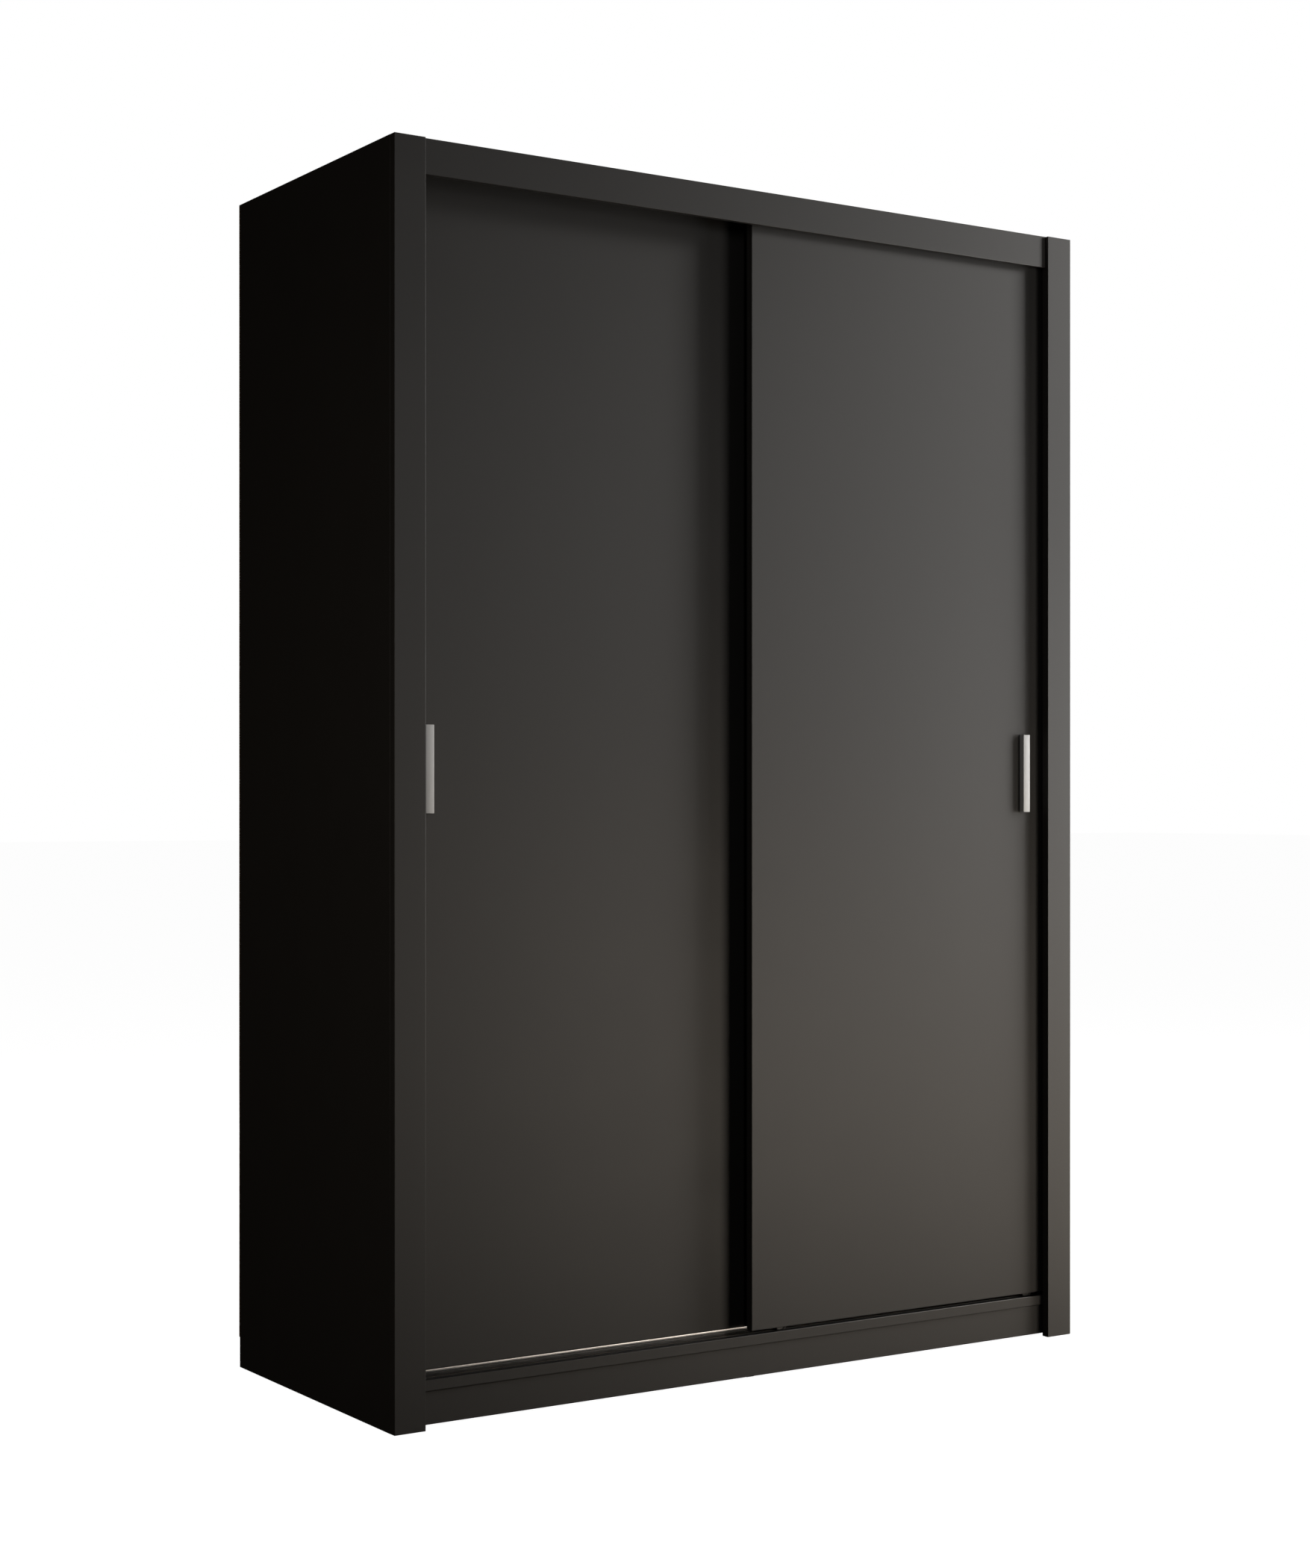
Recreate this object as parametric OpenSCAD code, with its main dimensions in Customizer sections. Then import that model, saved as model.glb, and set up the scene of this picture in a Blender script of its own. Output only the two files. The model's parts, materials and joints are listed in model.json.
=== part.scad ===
// Two-door sliding wardrobe.
// Frame: X along the width, +Y into the wardrobe from its front, +Z up.
// The origin is at the centre of the footprint, on the floor. Millimetres.
// A recess is a distance measured back from the plane of the front posts.

/* [Overall] */
// Outer width
wardrobe_w = 1500; // [1400:10:1600]
// Outer depth, over the nail heads on the back
wardrobe_d = 612; // [580:2:640]
// Outer height
wardrobe_h = 2150; // [2050:10:2200]

/* [Carcass boards] */
// Thickness of the sides, posts, shelves and doors
board_t = 16; // [16:1:18]
// Thickness of the bottom panel
bottom_t = 19; // [18:0.5:22]
// Thickness of the back sheets
back_t = 3; // [3:0.2:4]
// Width of each front post
post_w = 59; // [56:1:64]
// Height of the fascia above the doors
fascia_h = 60.5; // [56:0.5:66]
// Recess of the fascia behind the posts
fascia_recess = 6; // [5:0.5:7]
// Thickness of the fascia
fascia_t = 10; // [8:0.5:11]
// Height of the underside of the bottom panel
plinth_top = 61.5; // [55:0.5:70]
// Gap between the plinths and the floor
plinth_gap = 4.6; // [3:0.1:8]
// Recess of the front plinth behind the posts
plinth_recess = 20; // [18:1:24]

/* [Doors] */
// Width of each door
door_w = 737; // [735:1:738]
// Recess of the front door's face
front_door_recess = 22; // [20:1:24]
// Distance from one door's face to the other's
door_spacing = 42; // [38:1:43]
// Height of the doors' lower edge
door_bottom = 86; // [85.9:0.1:87]
// Height left between a door's top edge and the top panel
door_top_room = 18; // [18:0.5:20]
// Distance kept between a closed door and the side panel
bumper_room = 4; // [3.5:0.5:5]

/* [Handles] */
// Width of a handle
handle_w = 16; // [12:1:20]
// Length of a handle
handle_len = 150; // [120:5:180]
// How far a handle stands out from its door
handle_depth = 11; // [9:1:13]
// Height of the handles' centre above the floor
handle_z = 1101; // [1000:1:1200]
// From the front door's outer edge to its handle's centre
front_handle_inset = 84; // [74:1:94]
// From the rear door's outer edge to its handle's centre
rear_handle_inset = 76; // [74:1:94]

/* [Tracks and rollers] */
// Outer width of the rear bottom rail
rear_rail_w = 12; // [11.5:0.5:13]
// Outer width of the sunk front bottom track
front_track_w = 10; // [9.5:0.5:11]
// Height of both bottom tracks
rail_h = 4.9; // [4.7:0.1:5]
// Depth of the top track below the top panel
top_track_h = 14; // [12.5:0.5:14]
// Radius of a door wheel
wheel_r = 13; // [12:0.5:13.5]
// Width of a door wheel
wheel_w = 6; // [5:0.5:6.5]
// Distance from a door's end to its wheels
wheel_inset = 70; // [50:5:120]

/* [Interior] */
// Height of the top of the fixed shelves
fixed_shelf_top = 1800; // [1700:10:1850]
// Number of adjustable shelves in the left bay
shelf_count = 4; // [3:1:4]
// Recess of the shelves' front edges
shelf_recess = 100; // [96:1:130]
// Recess of the partition's front edge
partition_recess = 92; // [90:1:95]
// Outer diameter of the hanging rail
rail_d = 25; // [20:1:30]
// Distance from the fixed shelf down to the hanging rail's centre
rail_drop = 60; // [50:5:90]

/* [Hidden] */

$fn = 48;
// Extra length that a cut runs past a face
eps = 1;
// Radial room between a fitting and its bore
fit = 0.1;
// Room between parts that move past each other
room = 0.3;

// Derived positions of the carcass
half_w = wardrobe_w / 2;
inner_x = half_w - board_t;
nail_head_h = 0.8;
carcass_back = wardrobe_d - nail_head_h - back_t;
floor_top = plinth_top + bottom_t;
ceiling_z = wardrobe_h - board_t;
partition_x = board_t / 2;

// Derived positions of the doors
door_top = ceiling_z - door_top_room;
door_x = inner_x - bumper_room;
rear_door_recess = front_door_recess + door_spacing;
front_centre = front_door_recess + board_t / 2;
rear_centre = rear_door_recess + board_t / 2;

// Bottom tracks and wheels
track_wall = 1.5;
track_floor = 1.2;
front_track_base = floor_top - rail_h;
rear_track_base = floor_top;
axle_r = 1.5;
axle_len = 10.8;
wheel_bore_r = axle_r + 0.05;
front_wheel_z = front_track_base + track_floor + room + wheel_r;
rear_wheel_z = rear_track_base + track_floor + room + wheel_r;

// Roller housings, let into the doors' lower edges
housing_l = 46;
housing_w = 12;
housing_h = 28;
housing_slot_l = 2 * wheel_r + 4;
housing_slot_w = wheel_w + 1;
housing_slot_h = 25;

// Top track and guides
channel_w = 9;
fin_t = 1.6;
web_t = 2;
tongue_w = 8;
tongue_l = 30;
guide_l = 60;
guide_w = 14;
guide_t = 3;
guide_rise = 13;
guide_inset = 60;
guide_screw_pitch = 46;

// Interior fittings
fixed_shelf_z = fixed_shelf_top - board_t;
bay_h = (fixed_shelf_z - floor_top - shelf_count * board_t) / (shelf_count + 1);
shelf_side_gap = 1;
rail_z = fixed_shelf_z - rail_drop;
rail_recess = (shelf_recess + carcass_back) / 2;
rail_wall = 1.2;
socket_r = 23;
socket_t = 2.9;
socket_collar = 14;
socket_screw_z = 18.5;
pin_r = 2.5;
pin_in = 8;
pin_out = 9;
pin_hole_pitch = 32;
pin_recesses = [150, carcass_back - 60];

// Cam joints: distance along the board, radii and depths
cam_r = 7.5;
cam_h = 12;
cam_inset = 34;
cam_bolt_r = 3.5;
dowel_r = 4;
dowel_l = 30;
joint_in_side = 7.5;
dowel_offset = 30;
panel_joint_recesses = [110, 315, carcass_back - 50];
shelf_joint_recesses = [160, carcass_back - 70];
top_mid = ceiling_z + board_t / 2;
bottom_mid = plinth_top + bottom_t / 2;
shelf_mid = fixed_shelf_z + board_t / 2;
cam_slot_l = 9;
cam_slot_w = 1.6;
cam_slot_h = 4;

// Every board end that is held by cams: [x, direction of the panel it meets, underside, middle, recesses]
joint_ends = [
    for (s = [-1, 1]) [s * inner_x, s, ceiling_z, top_mid, panel_joint_recesses],
    for (s = [-1, 1]) [s * inner_x, s, plinth_top, bottom_mid, panel_joint_recesses],
    for (s = [-1, 1]) [s * inner_x, s, fixed_shelf_z, shelf_mid, shelf_joint_recesses],
    for (s = [-1, 1]) [s * partition_x, -s, fixed_shelf_z, shelf_mid, shelf_joint_recesses]
];

// Screws: shank radius, shank length, head radius, head height
track_screw = [1.75, 10, 3, 1.2];
handle_screw = [2, board_t + 7, 4, 2.4];
guide_screw = [1.5, 16, 3, 1.5];
small_screw = [1.75, 10, 3.5, 2];
block_screw = [1.75, 24, 3.2, 2];
confirmat = [3.5, 48, 5, 2];
nail = [0.8, 9, 2.5, nail_head_h];

track_screw_x = [for (i = [-2:2]) i * (inner_x - 60) / 2];
confirmat_recesses = [150, 330, carcass_back - 90];
nail_pitch = 300;
// Sideways offset of the nails that share the partition's edge
nail_offset = 4;
handle_screw_pitch = handle_len - 22;
handle_round = 0.6;
bracket_x = 500;
bracket_w = 25;
bracket_leg = 40;
bracket_t = 2;
// Screws of the wall brackets, as [sideways, forwards from the back] of each bracket's centre line
bracket_screws = [[-5, 30], [5, 14]];
wall_hole_r = 2.75;
wall_hole_z = ceiling_z - 24;
bumper_r = 5;
bumper_zs = [250, 1900];
block_size = 20;
block_x = [-650, -220, 220, 650];
// Sideways offset of a corner block's two screws, and how far each sits from the block's corner
block_screw_x = 5;
block_screw_in = 12;
// Rows of corner blocks, as [recess of the plinth's face, direction away from it]
block_rows = [[plinth_recess + board_t, 1], [carcass_back - 2 * board_t, -1]];

function y_at(recess) = recess - wardrobe_d / 2;

function shelf_z(i) = floor_top + i * bay_h + (i - 1) * board_t;

function pin_z(i) = shelf_z(i) - pin_r - fit;

function nail_xs() = [for (x = [-2:2]) x * (half_w - board_t / 2) / 2];

function nail_zs() = [for (z = [plinth_top + bottom_t / 2 + nail_pitch:nail_pitch:ceiling_z - 60]) z];

// [x, z] of every nail: along the top and bottom panels, then up the sides and the partition
nail_spots = concat(
    [for (x = nail_xs(), z = [bottom_mid, top_mid]) [x + (x == 0 ? nail_offset : 0), z]],
    [for (x = [-1, 1], z = nail_zs()) [x * (half_w - board_t / 2), z]],
    [for (x = [-nail_offset, nail_offset], z = nail_zs()) [x, z]]
);

// ---- Shared shapes ----

module board(x0, x1, r0, r1, z0, z1) {
    translate([x0, y_at(r0), z0]) cube([x1 - x0, r1 - r0, z1 - z0]);
}

// A cylinder that starts at a point and runs along a unit direction
module rod(x, recess, z, dir, r, len) {
    turn = dir.x != 0 ? [0, dir.x * 90, 0] : dir.y != 0 ? [-dir.y * 90, 0, 0] : [dir.z > 0 ? 0 : 180, 0, 0];
    translate([x, y_at(recess), z]) rotate(turn) cylinder(r = r, h = len);
}

// A screw whose head's underside is at the point, with its shank running along dir
module screw(size, x, recess, z, dir) {
    rod(x, recess, z, dir, size[0], size[1]);
    rod(x, recess, z, -dir, size[2], size[3]);
}

module screw_hole(size, x, recess, z, dir) {
    rod(x, recess, z, dir, size[0] + fit, size[1] + fit);
    rod(x, recess, z, -dir, size[2] + fit, size[3] + eps);
}

// ---- Cam and dowel joints at a board's end ----

module joint_bores(x, dir, z, recesses) {
    start = x + dir * (joint_in_side + fit);
    for (r = recesses) {
        rod(start, r, z, [-dir, 0, 0], cam_bolt_r + fit, joint_in_side + cam_inset);
        rod(start, r + dowel_offset, z, [-dir, 0, 0], dowel_r + fit, dowel_l + 2 * fit);
    }
}

module cam_bores(x, dir, z_low, recesses) {
    for (r = recesses) rod(x - dir * cam_inset, r, z_low - eps, [0, 0, 1], cam_r + fit, cam_h + fit + eps);
}

module cams(x, dir, z_low, recesses) {
    for (r = recesses) difference() {
        rod(x - dir * cam_inset, r, z_low, [0, 0, 1], cam_r, cam_h);
        translate([x - dir * cam_inset, y_at(r), z_low]) {
            cube([cam_slot_l, cam_slot_w, cam_slot_h], center = true);
            cube([cam_slot_w, cam_slot_l, cam_slot_h], center = true);
        }
    }
}

module bolts(x, dir, z, recesses) {
    len = joint_in_side + cam_inset - cam_r - 2 * fit;
    for (r = recesses) rod(x + dir * joint_in_side, r, z, [-dir, 0, 0], cam_bolt_r, len);
}

module dowels(x, dir, z, recesses) {
    for (r = recesses) rod(x + dir * joint_in_side, r + dowel_offset, z, [-dir, 0, 0], dowel_r, dowel_l);
}

module nail_holes() {
    for (spot = nail_spots) screw_hole(nail, spot[0], wardrobe_d - nail_head_h, spot[1], [0, -1, 0]);
}

module pin_holes(x, dir) {
    for (i = [1:shelf_count], r = pin_recesses, k = [-1:1])
        rod(x - dir * eps, r, pin_z(i) + k * pin_hole_pitch, [dir, 0, 0], pin_r + fit, pin_in + eps);
}

module socket_screw_set(x, dir, hole) {
    for (s = [-1, 1]) {
        z = rail_z + s * socket_screw_z;
        if (hole) screw_hole(small_screw, x - dir * (socket_t + fit), rail_recess, z, [dir, 0, 0]);
        else screw(small_screw, x - dir * (socket_t + fit), rail_recess, z, [dir, 0, 0]);
    }
}

// ---- Carcass ----

module side_panel(side) {
    x0 = side < 0 ? -half_w : inner_x;
    color("#1b1a19") difference() {
        board(x0, x0 + board_t, board_t, carcass_back, 0, wardrobe_h);
        joint_bores(side * inner_x, side, top_mid, panel_joint_recesses);
        joint_bores(side * inner_x, side, bottom_mid, panel_joint_recesses);
        joint_bores(side * inner_x, side, shelf_mid, shelf_joint_recesses);
        nail_holes();
        if (side < 0) pin_holes(-inner_x, -1);
        if (side > 0) socket_screw_set(inner_x, 1, true);
    }
}

module front_post(side) {
    x0 = side < 0 ? -half_w : half_w - post_w;
    color("#2b2a28") board(x0, x0 + post_w, 0, board_t, 0, wardrobe_h);
}

module fascia() {
    color("#2b2a28")
        board(post_w - half_w, half_w - post_w, fascia_recess, fascia_recess + fascia_t,
            wardrobe_h - fascia_h, wardrobe_h);
}

module top_panel() {
    color("#232221") difference() {
        board(-inner_x, inner_x, board_t, carcass_back, ceiling_z, wardrobe_h);
        for (s = [-1, 1]) {
            joint_bores(s * inner_x, s, top_mid, panel_joint_recesses);
            cam_bores(s * inner_x, s, ceiling_z, panel_joint_recesses);
        }
        nail_holes();
        for (r = confirmat_recesses) screw_hole(confirmat, 0, r, wardrobe_h - confirmat[3], [0, 0, -1]);
        for (x = track_screw_x, r = [front_centre, rear_centre])
            screw_hole(track_screw, x, r, ceiling_z - web_t, [0, 0, 1]);
        bracket_screw_holes();
    }
}

module bottom_panel() {
    color("#2b2a28") difference() {
        board(-inner_x, inner_x, board_t, carcass_back, plinth_top, floor_top);
        board(-inner_x - eps, inner_x + eps, front_centre - front_track_w / 2,
            front_centre + front_track_w / 2, front_track_base, floor_top + eps);
        for (s = [-1, 1]) {
            joint_bores(s * inner_x, s, bottom_mid, panel_joint_recesses);
            cam_bores(s * inner_x, s, plinth_top, panel_joint_recesses);
        }
        nail_holes();
        for (r = confirmat_recesses) screw_hole(confirmat, 0, r, plinth_top + confirmat[3], [0, 0, 1]);
        bottom_track_screw_holes();
        block_screw_holes([0, 0, 1]);
    }
}

module plinth_front() {
    color("#262523") difference() {
        board(-inner_x, inner_x, plinth_recess, plinth_recess + board_t, plinth_gap, plinth_top);
        block_screw_holes([0, -1, 0]);
    }
}

module plinth_rear() {
    color("#262523") difference() {
        board(-inner_x, inner_x, carcass_back - 2 * board_t, carcass_back - board_t, plinth_gap, plinth_top);
        block_screw_holes([0, 1, 0]);
    }
}

module centre_brace() {
    color("#262523")
        board(-partition_x, partition_x, plinth_recess + board_t, carcass_back - 2 * board_t, 0, plinth_top);
}

module centre_partition() {
    color("#2b2a28") difference() {
        board(-partition_x, partition_x, partition_recess, carcass_back, floor_top, ceiling_z);
        for (s = [-1, 1]) joint_bores(s * partition_x, -s, shelf_mid, shelf_joint_recesses);
        nail_holes();
        pin_holes(-partition_x, 1);
        socket_screw_set(partition_x, -1, true);
        for (r = confirmat_recesses) {
            screw_hole(confirmat, 0, r, wardrobe_h - confirmat[3], [0, 0, -1]);
            screw_hole(confirmat, 0, r, plinth_top + confirmat[3], [0, 0, 1]);
        }
    }
}

module fixed_shelf(side) {
    x_in = side * partition_x;
    x_out = side * inner_x;
    color("#2b2a28") difference() {
        board(min(x_in, x_out), max(x_in, x_out), shelf_recess, carcass_back, fixed_shelf_z, fixed_shelf_top);
        joint_bores(x_out, side, shelf_mid, shelf_joint_recesses);
        cam_bores(x_out, side, fixed_shelf_z, shelf_joint_recesses);
        joint_bores(x_in, -side, shelf_mid, shelf_joint_recesses);
        cam_bores(x_in, -side, fixed_shelf_z, shelf_joint_recesses);
    }
}

module adjustable_shelf(i) {
    color("#2b2a28")
        board(shelf_side_gap - inner_x, -partition_x - shelf_side_gap, shelf_recess, carcass_back - 2,
            shelf_z(i), shelf_z(i) + board_t);
}

module shelf_pins() {
    color("silver")
        for (i = [1:shelf_count], r = pin_recesses, end = [[-inner_x, -1], [-partition_x, 1]])
            rod(end[0] - end[1] * pin_out, r, pin_z(i), [end[1], 0, 0], pin_r, pin_out + pin_in - fit);
}

module back_sheet(side) {
    color("#3a3836") difference() {
        board(side < 0 ? -half_w : 0.5, side < 0 ? -0.5 : half_w, carcass_back, carcass_back + back_t,
            plinth_top - 6, wardrobe_h);
        nail_holes();
        rod(side * bracket_x, carcass_back - eps, wall_hole_z, [0, 1, 0], wall_hole_r, back_t + 2 * eps);
    }
}

module back_nails() {
    color("silver")
        for (spot = nail_spots) screw(nail, spot[0], wardrobe_d - nail_head_h, spot[1], [0, -1, 0]);
}

module cam_locks() {
    color("silver") for (e = joint_ends) cams(e[0], e[1], e[2], e[4]);
}

module cam_bolts() {
    color("silver") for (e = joint_ends) bolts(e[0], e[1], e[3], e[4]);
}

module wood_dowels() {
    color("burlywood") for (e = joint_ends) dowels(e[0], e[1], e[3], e[4]);
}

module confirmat_screws() {
    color("silver") for (r = confirmat_recesses) {
        screw(confirmat, 0, r, wardrobe_h - confirmat[3], [0, 0, -1]);
        screw(confirmat, 0, r, plinth_top + confirmat[3], [0, 0, 1]);
    }
}

// Plastic corner blocks behind the front plinth and before the rear plinth
module corner_blocks() {
    color("#20201f") for (row = block_rows, x = block_x) difference() {
        board(x - block_size / 2, x + block_size / 2, min(row[0], row[0] + row[1] * block_size),
            max(row[0], row[0] + row[1] * block_size), plinth_top - block_size, plinth_top);
        translate([x, 0, 0]) block_screw_pair(row, true);
    }
}

// One screw up into the bottom panel and one into the plinth, each in its own half of the block
module block_screw_pair(row, hole) {
    up_recess = row[0] + row[1] * block_screw_in;
    out_recess = row[0] + row[1] * (block_size - block_screw[3]);
    up = [-block_screw_x, up_recess, plinth_top - block_size + block_screw[3], [0, 0, 1]];
    out = [block_screw_x, out_recess, plinth_top - block_screw_in, [0, -row[1], 0]];
    for (s = [up, out])
        if (hole) screw_hole(block_screw, s[0], s[1], s[2], s[3]);
        else screw(block_screw, s[0], s[1], s[2], s[3]);
}

module block_screw_holes(dir) {
    for (row = block_rows, x = block_x)
        if (dir.z != 0 || dir.y == -row[1]) translate([x, 0, 0]) block_screw_pair(row, true);
}

module corner_block_screws() {
    color("silver") for (row = block_rows, x = block_x) translate([x, 0, 0]) block_screw_pair(row, false);
}

module bracket_screw_spots() {
    for (s = [-1, 1], spot = bracket_screws)
        translate([s * bracket_x + spot[0], y_at(carcass_back - spot[1]), ceiling_z - bracket_t]) children();
}

module bracket_screw_holes() {
    bracket_screw_spots()
        translate([0, 0, -eps]) cylinder(r = small_screw[0] + fit, h = small_screw[1] + eps + fit);
}

module wall_brackets() {
    color("silver") difference() {
        for (s = [-1, 1]) {
            x0 = s * bracket_x - bracket_w / 2;
            board(x0, x0 + bracket_w, carcass_back - bracket_leg, carcass_back,
                ceiling_z - bracket_t, ceiling_z);
            board(x0, x0 + bracket_w, carcass_back - bracket_t, carcass_back,
                ceiling_z - bracket_leg, ceiling_z - bracket_t / 2);
        }
        for (s = [-1, 1])
            rod(s * bracket_x, carcass_back - bracket_t - eps, wall_hole_z, [0, 1, 0],
                wall_hole_r, bracket_t + 2 * eps);
        bracket_screw_holes();
    }
}

module wall_bracket_screws() {
    color("silver") bracket_screw_spots() {
        cylinder(r = small_screw[0], h = small_screw[1]);
        translate([0, 0, -small_screw[3]]) cylinder(r = small_screw[2], h = small_screw[3]);
    }
}

module hanging_rail() {
    color("lightgray") difference() {
        rod(partition_x + 2, rail_recess, rail_z, [1, 0, 0], rail_d / 2, inner_x - partition_x - 4);
        rod(partition_x, rail_recess, rail_z, [1, 0, 0], rail_d / 2 - rail_wall, inner_x - partition_x);
    }
}

// Round cup that carries one end of the hanging rail
module rail_socket(x, dir) {
    color("silver") difference() {
        union() {
            rod(x, rail_recess, rail_z, [-dir, 0, 0], socket_r, socket_t);
            rod(x, rail_recess, rail_z, [-dir, 0, 0], rail_d / 2 + 2, socket_collar);
        }
        rod(x - dir * 1.5, rail_recess, rail_z, [-dir, 0, 0], rail_d / 2 + fit, socket_collar);
        for (s = [-1, 1])
            rod(x + dir, rail_recess, rail_z + s * socket_screw_z, [-dir, 0, 0], small_screw[0] + fit, 5);
    }
}

module rail_socket_screws() {
    color("silver") {
        socket_screw_set(partition_x, -1, false);
        socket_screw_set(inner_x, 1, false);
    }
}

// ---- Tracks ----

module top_track() {
    color("silver") difference() {
        union() {
            board(-inner_x, inner_x, front_door_recess, rear_door_recess + board_t,
                ceiling_z - web_t, ceiling_z);
            for (c = [front_centre, rear_centre], s = [-1, 1]) {
                middle = c + s * (channel_w + fin_t) / 2;
                board(-inner_x, inner_x, middle - fin_t / 2, middle + fin_t / 2,
                    ceiling_z - top_track_h, ceiling_z);
            }
        }
        for (x = track_screw_x, r = [front_centre, rear_centre])
            rod(x, r, ceiling_z - web_t - eps, [0, 0, 1], track_screw[0] + fit, web_t + 2 * eps);
    }
}

module top_track_screws() {
    color("silver")
        for (x = track_screw_x, r = [front_centre, rear_centre])
            screw(track_screw, x, r, ceiling_z - web_t, [0, 0, 1]);
}

module bottom_channel(centre, width, base) {
    difference() {
        board(-inner_x, inner_x, centre - width / 2, centre + width / 2, base, base + rail_h);
        board(-inner_x - eps, inner_x + eps, centre - width / 2 + track_wall, centre + width / 2 - track_wall,
            base + track_floor, base + rail_h + eps);
        for (x = track_screw_x)
            screw_hole(track_screw, x, centre, base, [0, 0, -1]);
    }
}

module front_bottom_track() {
    color("#151515") bottom_channel(front_centre, front_track_w, front_track_base);
}

module rear_bottom_rail() {
    color("lightgray") bottom_channel(rear_centre, rear_rail_w, rear_track_base);
}

module bottom_track_screw_holes() {
    for (x = track_screw_x, t = [[front_centre, front_track_base], [rear_centre, rear_track_base]])
        rod(x, t[0], t[1] + eps, [0, 0, -1], track_screw[0] + fit, track_screw[1] + eps + fit);
}

module bottom_track_screws() {
    color("silver")
        for (x = track_screw_x, t = [[front_centre, front_track_base], [rear_centre, rear_track_base]])
            screw(track_screw, x, t[0], t[1], [0, 0, -1]);
}

module door_bumpers() {
    color("#3a3a3a")
        for (s = [-1, 1], c = [front_centre, rear_centre], z = bumper_zs)
            rod(s * inner_x, c, z, [-s, 0, 0], bumper_r, bumper_room - room);
}

// ---- Doors ----
// side is +1 for the front door, closed at the right, and -1 for the rear door, closed at the left

function door_x0(side) = side > 0 ? door_x - door_w : -door_x;

function door_recess(side) = side > 0 ? front_door_recess : rear_door_recess;

function door_centre(side) = door_recess(side) + board_t / 2;

function wheel_x(side) = [door_x0(side) + wheel_inset, door_x0(side) + door_w - wheel_inset];

function wheel_z(side) = side > 0 ? front_wheel_z : rear_wheel_z;

function handle_x(side) = side > 0 ? door_x - front_handle_inset : rear_handle_inset - door_x;

function guide_x(side) = [door_x0(side) + guide_inset, door_x0(side) + door_w - guide_inset];

module handle_screw_set(side, hole) {
    for (s = [-1, 1]) {
        z = handle_z + s * handle_screw_pitch / 2;
        back = door_recess(side) + board_t;
        if (hole)
            rod(handle_x(side), back + eps, z, [0, -1, 0], handle_screw[0] + fit, handle_screw[1] + 2 * eps);
        else screw(handle_screw, handle_x(side), back, z, [0, -1, 0]);
    }
}

module guide_screw_set(side, hole) {
    for (x = guide_x(side), s = [-1, 1]) {
        gx = x + s * guide_screw_pitch / 2;
        gz = door_top + guide_t - guide_screw[3];
        if (hole) screw_hole(guide_screw, gx, door_centre(side), gz, [0, 0, -1]);
        else screw(guide_screw, gx, door_centre(side), gz, [0, 0, -1]);
    }
}

module door_panel(side) {
    c = door_centre(side);
    color("#2b2a28") difference() {
        board(door_x0(side), door_x0(side) + door_w, door_recess(side), door_recess(side) + board_t,
            door_bottom, door_top);
        for (x = wheel_x(side))
            board(x - housing_l / 2 - fit, x + housing_l / 2 + fit, c - housing_w / 2 - fit,
                c + housing_w / 2 + fit, door_bottom - eps, door_bottom + housing_h + fit);
        handle_screw_set(side, true);
        guide_screw_set(side, true);
    }
}

// Solid bar with softened long edges
module handle(side) {
    color("silver") difference() {
        translate([handle_x(side), y_at(door_recess(side)), handle_z - handle_len / 2])
            linear_extrude(handle_len) hull() {
                for (s = [-1, 1])
                    translate([s * (handle_w / 2 - handle_round), handle_round - handle_depth])
                        circle(handle_round, $fn = 32);
                translate([-handle_w / 2, -handle_round]) square([handle_w, handle_round]);
            }
        handle_screw_set(side, true);
    }
}

module roller_housings(side) {
    c = door_centre(side);
    color("#20201f") for (x = wheel_x(side)) difference() {
        board(x - housing_l / 2, x + housing_l / 2, c - housing_w / 2, c + housing_w / 2,
            door_bottom, door_bottom + housing_h);
        board(x - housing_slot_l / 2, x + housing_slot_l / 2, c - housing_slot_w / 2,
            c + housing_slot_w / 2, door_bottom - eps, door_bottom + housing_slot_h);
        rod(x, c - axle_len / 2 - fit, wheel_z(side), [0, 1, 0], axle_r + fit, axle_len + 2 * fit);
    }
}

module axles(side) {
    start = door_centre(side) - axle_len / 2;
    color("silver") for (x = wheel_x(side)) rod(x, start, wheel_z(side), [0, 1, 0], axle_r, axle_len);
}

// Black nylon wheel with a softened tread, turning about Y
module door_wheel(side, i) {
    soft = 0.6;
    half = wheel_w / 2;
    color("#1c1c1c") translate([wheel_x(side)[i], y_at(door_centre(side)), wheel_z(side)])
        rotate([-90, 0, 0]) rotate_extrude() polygon([
            [wheel_bore_r, -half], [wheel_r - soft, -half], [wheel_r, soft - half],
            [wheel_r, half - soft], [wheel_r - soft, half], [wheel_bore_r, half]
        ]);
}

module top_guides(side) {
    c = door_centre(side);
    color("#20201f") difference() {
        for (x = guide_x(side)) {
            board(x - guide_l / 2, x + guide_l / 2, c - guide_w / 2, c + guide_w / 2,
                door_top, door_top + guide_t);
            board(x - tongue_l / 2, x + tongue_l / 2, c - tongue_w / 2, c + tongue_w / 2,
                door_top, door_top + guide_rise);
        }
        guide_screw_set(side, true);
    }
}

module handle_screws(side) {
    color("silver") handle_screw_set(side, false);
}

module guide_screws(side) {
    color("silver") guide_screw_set(side, false);
}

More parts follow.
